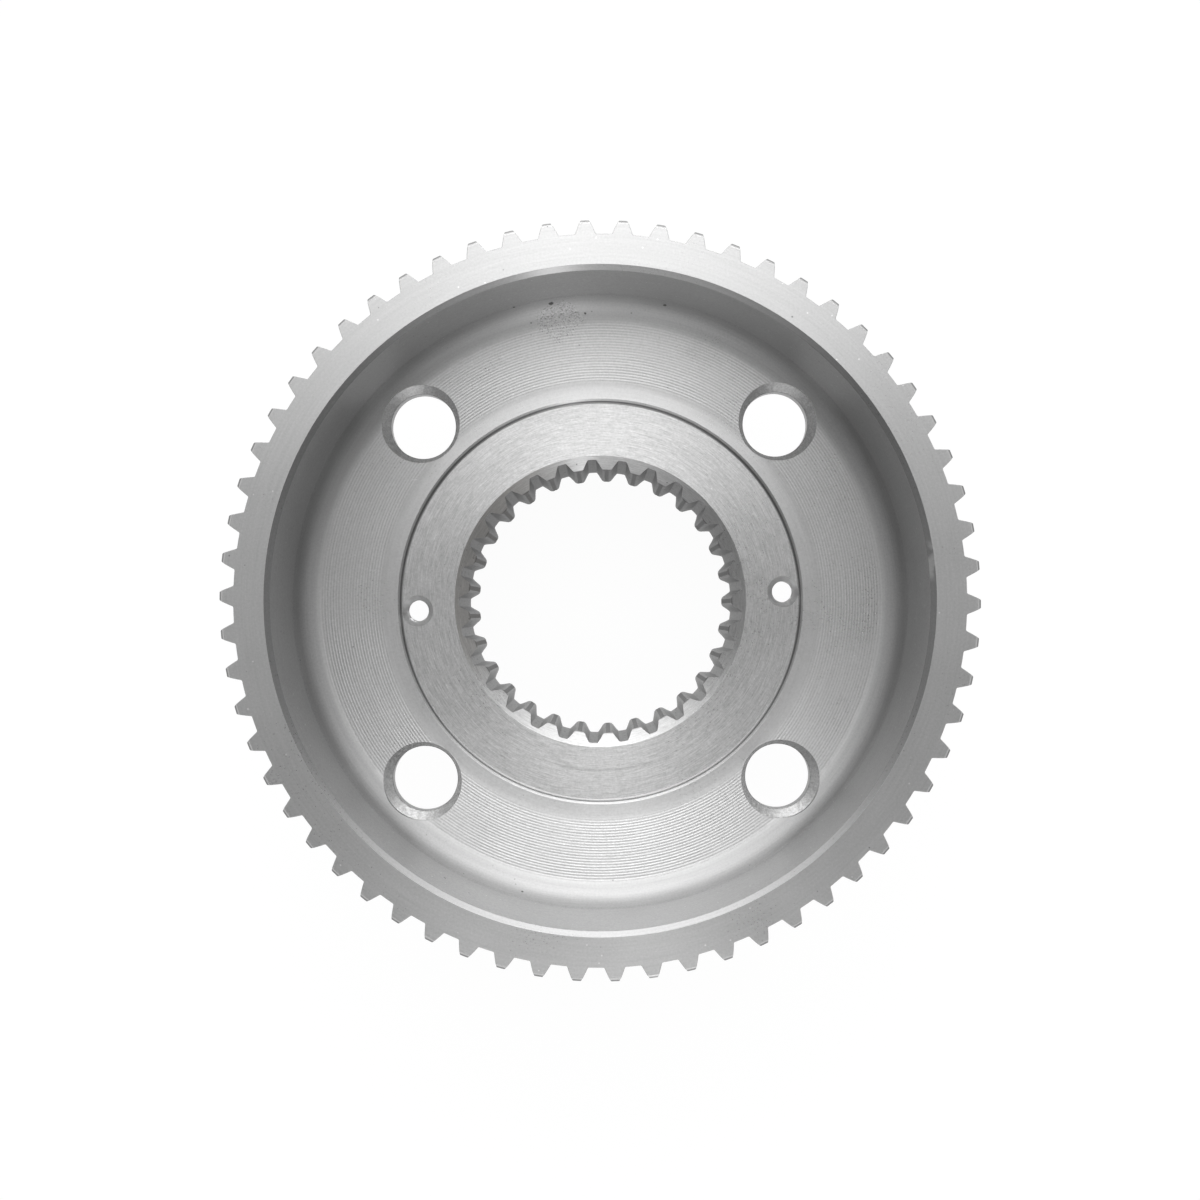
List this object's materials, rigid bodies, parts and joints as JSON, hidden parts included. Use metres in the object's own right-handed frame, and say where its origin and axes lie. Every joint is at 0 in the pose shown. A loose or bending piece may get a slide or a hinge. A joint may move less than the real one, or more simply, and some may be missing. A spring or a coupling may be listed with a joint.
{
  "type": "ring gear hub",
  "caption": "Deep-dished steel ring gear with short outer teeth on its rim, oil holes and tapped puller holes in the web, and an inner spline in a long boss.",
  "frame": {"origin": "on the axis, at the back face of the boss, on which the part rests", "axes": "+Z along the axis, from the boss to the open front of the dish; +X and +Y each lie midway between two oil holes"},
  "size_m": [0.225, 0.225, 0.092],
  "materials": {
    "steel": "turned and milled, bare"
  },
  "bodies": {
    "root": {"ring_gear": "steel"}
  },
  "joints": []
}
